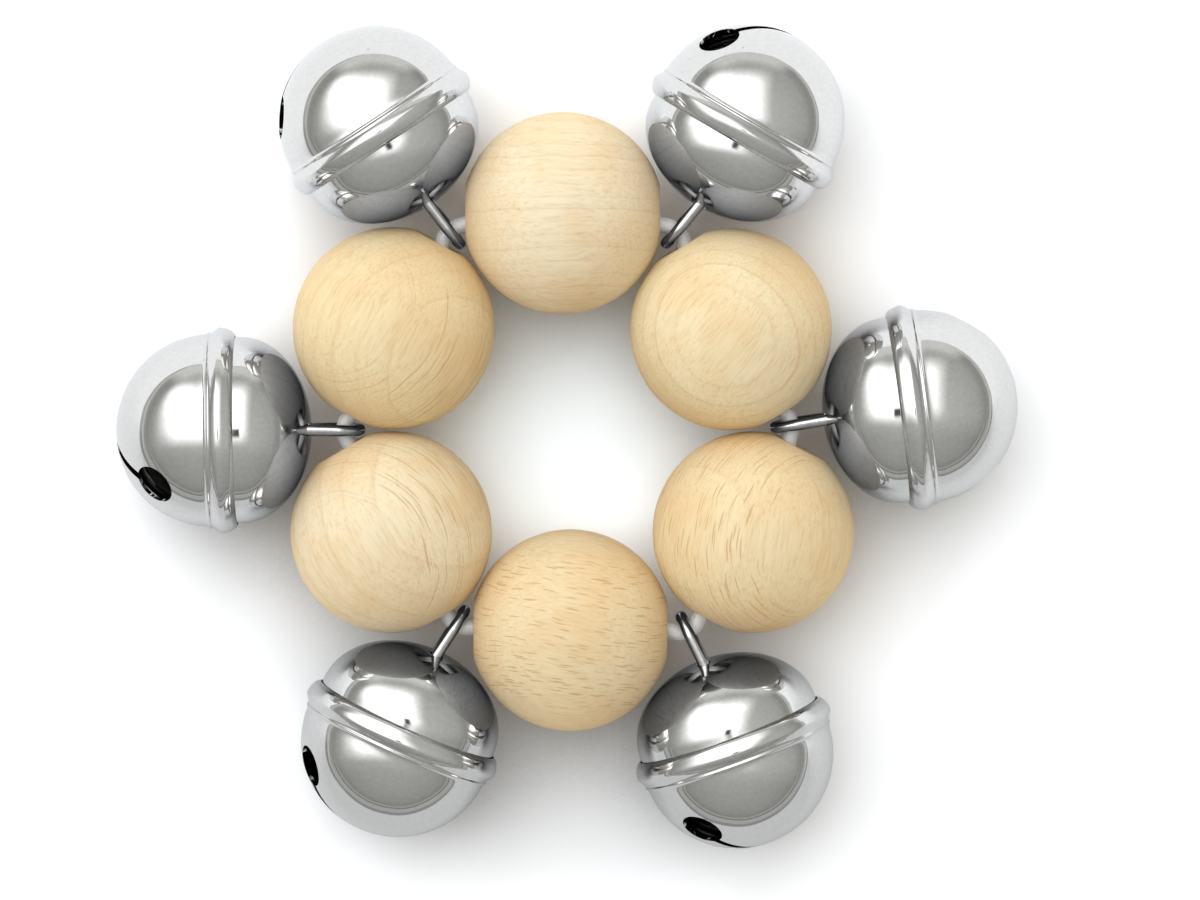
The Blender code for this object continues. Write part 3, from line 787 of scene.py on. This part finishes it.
def make_camera():
    data = bpy.data.cameras.new("camera")
    data.sensor_width = SENSOR_WIDTH
    data.lens = SENSOR_WIDTH * CAMERA_DISTANCE * PIXELS_PER_MM / (PHOTO_WIDTH * MM)
    data.clip_end = 100.0
    camera = show(bpy.data.objects.new("camera", data))
    bead = Vector(joints["bead_1_spin"]["pos_m"])
    aim_x = bead.x - (BEAD_1_PIXEL[0] - PHOTO_WIDTH / 2) / PIXELS_PER_MM * MM
    aim_y = bead.y + (BEAD_1_PIXEL[1] - PHOTO_HEIGHT / 2) / PIXELS_PER_MM * MM
    camera.location = (
        aim_x,
        aim_y + CAMERA_DISTANCE * math.sin(CAMERA_TILT),
        bead.z + CAMERA_DISTANCE * math.cos(CAMERA_TILT),
    )
    camera.rotation_euler = (-CAMERA_TILT, 0, 0)
    bpy.context.scene.camera = camera


def make_table():
    """White table: overexposed in the open, grey in the gaps and on the side away from the light, from the lights
    and from a painted shadow.
    """
    mesh = bpy.data.meshes.new("table")
    shape = bmesh.new()
    bmesh.ops.create_grid(shape, x_segments=1, y_segments=1, size=3.0)
    shape.to_mesh(mesh)
    shape.free()
    table = show(bpy.data.objects.new("table", mesh))
    material, tree = new_material("white table")
    path = add_node(tree, "ShaderNodeLightPath")
    place = add_node(tree, "ShaderNodeTexCoord").outputs["Object"]
    # Painted shadow: the table is darker where things nearby block the way towards the light, in the gaps and on
    # their far side
    to_light = add_node(tree, "ShaderNodeCombineXYZ", {0: 0.15, 1: 0.80, 2: 0.58})
    openness = add_node(tree, "ShaderNodeAmbientOcclusion", {
        "Distance": 34 * MM, "Normal": to_light.outputs[0],
    }, samples=8)
    shade = add_node(tree, "ShaderNodeMapRange", {
        "Value": openness.outputs["AO"], "From Min": 0.12, "From Max": 0.70, "To Min": 0.29, "To Max": 1.0,
    })
    spot = add_node(tree, "ShaderNodeSeparateXYZ", {"Vector": place})
    # Painted light and shade in the nickel's view of the table: darker towards the front, brighter towards the
    # back
    painted_reflection_falloff = add_node(tree, "ShaderNodeMapRange", {
        "Value": spot.outputs[1], "From Min": -90 * MM, "From Max": 40 * MM, "To Min": -0.17, "To Max": 0.26,
    })
    for_camera = add_node(tree, "ShaderNodeMath", {
        0: path.outputs["Is Camera Ray"], 1: 0.50, 2: 0.86,
    }, operation="MULTIPLY_ADD")
    share = add_node(tree, "ShaderNodeMath", {
        0: path.outputs["Is Glossy Ray"], 1: painted_reflection_falloff.outputs[0], 2: for_camera.outputs[0],
    }, operation="MULTIPLY_ADD")
    tone = add_node(tree, "ShaderNodeMath", {0: share.outputs[0], 1: shade.outputs[0]}, operation="MULTIPLY")

    # The nickel mirrors the table only as far as its sheet of paper reaches, and grey beyond
    on_paper = soft_patch(tree, [
        (spot.outputs[0], PAPER_LEFT - PAPER_EDGE, PAPER_LEFT + PAPER_EDGE),
        (spot.outputs[0], PAPER_RIGHT + PAPER_EDGE, PAPER_RIGHT - PAPER_EDGE),
        (spot.outputs[1], PAPER_FRONT - PAPER_EDGE, PAPER_FRONT + PAPER_EDGE),
    ])
    paper = add_node(tree, "ShaderNodeMapRange", {"Value": on_paper, "To Min": 0.45, "To Max": 1.0})
    paper = add_node(tree, "ShaderNodeMix", {
        "Factor": path.outputs["Is Glossy Ray"], 2: 1.0, 3: paper.outputs[0],
    }, data_type="FLOAT")
    tone = add_node(tree, "ShaderNodeMath", {0: tone.outputs[0], 1: paper.outputs[0]}, operation="MULTIPLY")

    # Painted light: towards the middle of the ring the table is painted brighter and cooler, so that it
    # stays white between the warm beads. The wood gets a warm light from below
    from_middle = add_node(tree, "ShaderNodeVectorMath", {0: place}, operation="LENGTH")
    painted_light_middle = add_node(tree, "ShaderNodeMapRange", {
        "Value": from_middle.outputs["Value"], "From Min": 32 * MM, "From Max": 12 * MM,
    })
    tint = add_node(tree, "ShaderNodeMix", {
        "Factor": painted_light_middle.outputs[0], 6: (0.96, 1.0, 1.05, 1.0), 7: (1.20, 1.34, 1.48, 1.0),
    }, data_type="RGBA")
    tint = add_node(tree, "ShaderNodeMix", {
        "Factor": path.outputs["Is Diffuse Ray"], 6: tint.outputs[2], 7: (1.20, 1.04, 0.84, 1.0),
    }, data_type="RGBA")
    colour = add_node(tree, "ShaderNodeVectorMath", {0: tint.outputs[2], 1: tone.outputs[0]}, operation="MULTIPLY")
    shader = add_node(tree, "ShaderNodeBsdfDiffuse", {"Color": colour.outputs[0]})
    close_material(tree, shader)
    table.data.materials.append(material)


def make_studio_light():
    """A grey room with one big soft window above, towards the upper left."""
    world = bpy.data.worlds.new("studio")
    bpy.context.scene.world = world
    world.use_nodes = True
    tree = world.node_tree
    tree.nodes.clear()
    direction = add_node(tree, "ShaderNodeTexCoord").outputs["Generated"]
    spread = add_node(tree, "ShaderNodeSeparateXYZ", {"Vector": direction})

    x, y, z = spread.outputs
    window = soft_patch(tree, [
        (x, -1.0, -0.62), (x, 0.50, -0.05), (y, -0.34, 0.12), (y, 0.96, 0.66), (z, 0.20, 0.48),
    ])
    walls = add_node(tree, "ShaderNodeValToRGB", {"Fac": z}, stops=[
        (0.0, linear("D3D3D1")), (0.06, linear("9E9E9B")), (0.14, linear("989895")), (0.32, linear("AEAEAB")),
        (1.0, linear("C8C8C5")),
    ])
    light_wall = soft_patch(tree, [(y, 0.72, 0.92), (z, 0.40, 0.14)])
    walls = add_node(tree, "ShaderNodeMix", {
        "Factor": light_wall, 6: walls.outputs[0], 7: linear("DCDCD9"),
    }, data_type="RGBA")
    nearer = soft_patch(tree, [(y, -0.10, -0.60)])
    dimmer = add_node(tree, "ShaderNodeMapRange", {"Value": nearer, "To Min": 1.0, "To Max": 0.86})

    # Towards the front: a pale strip, a bright line, a dark one and a bright one, then grey
    edge = add_node(tree, "ShaderNodeValToRGB", {"Fac": z}, stops=[
        (0.0, grey(0.74)), (0.05, grey(1.25)), (0.08, grey(1.75)), (0.115, grey(0.6)), (0.15, grey(1.6)),
        (0.19, grey(0.92)),
    ])
    edged = add_node(tree, "ShaderNodeMix", {
        "Factor": nearer, 6: grey(1.0), 7: edge.outputs[0],
    }, data_type="RGBA")
    room = add_node(tree, "ShaderNodeMix", {
        "Factor": 1.0, 6: walls.outputs[2], 7: dimmer.outputs[0],
    }, data_type="RGBA", blend_type="MULTIPLY")
    room = add_node(tree, "ShaderNodeMix", {
        "Factor": 1.0, 6: room.outputs[2], 7: edged.outputs[2],
    }, data_type="RGBA", blend_type="MULTIPLY")

    # Low light on the wood's sides is warm, as if it came from bead to bead
    path = add_node(tree, "ShaderNodeLightPath")
    low = soft_patch(tree, [(z, 0.75, 0.15)])
    low_on_wood = add_node(tree, "ShaderNodeMath", {
        0: path.outputs["Is Diffuse Ray"], 1: low,
    }, operation="MULTIPLY")
    warmth = add_node(tree, "ShaderNodeMix", {
        "Factor": low_on_wood.outputs[0], 6: grey(1.0), 7: (1.98, 1.57, 1.12, 1.0),
    }, data_type="RGBA")
    room = add_node(tree, "ShaderNodeMix", {
        "Factor": 1.0, 6: room.outputs[2], 7: warmth.outputs[2],
    }, data_type="RGBA", blend_type="MULTIPLY")
    light = add_node(tree, "ShaderNodeMix", {
        "Factor": window, 6: room.outputs[2], 7: (2.16, 2.16, 2.16, 1.0),
    }, data_type="RGBA")

    # The camera and its stand mirror as a small dark spot, almost straight above
    camera = soft_patch(tree, [
        (x, -0.12, -0.02), (x, 0.12, 0.02), (y, -0.16, -0.04), (y, 0.14, 0.04), (z, 0.0, 0.5),
    ])
    clear_of_camera = add_node(tree, "ShaderNodeMapRange", {"Value": camera, "To Min": 1.0, "To Max": 0.05})
    light = add_node(tree, "ShaderNodeMix", {
        "Factor": 1.0, 6: light.outputs[2], 7: clear_of_camera.outputs[0],
    }, data_type="RGBA", blend_type="MULTIPLY")
    lit = add_node(tree, "ShaderNodeBackground", {"Color": light.outputs[2], "Strength": 1.0})
    plain = add_node(tree, "ShaderNodeBackground", {"Color": (1, 1, 1, 1), "Strength": 1.0})
    chosen = add_node(tree, "ShaderNodeMixShader", {
        "Fac": path.outputs["Is Camera Ray"], 1: lit.outputs[0], 2: plain.outputs[0],
    })
    add_node(tree, "ShaderNodeOutputWorld", {"Surface": chosen.outputs[0]})


make_camera()
make_cord()
make_beads()
make_bells()
make_table()
make_studio_light()

bpy.context.scene.view_settings.view_transform = "Standard"
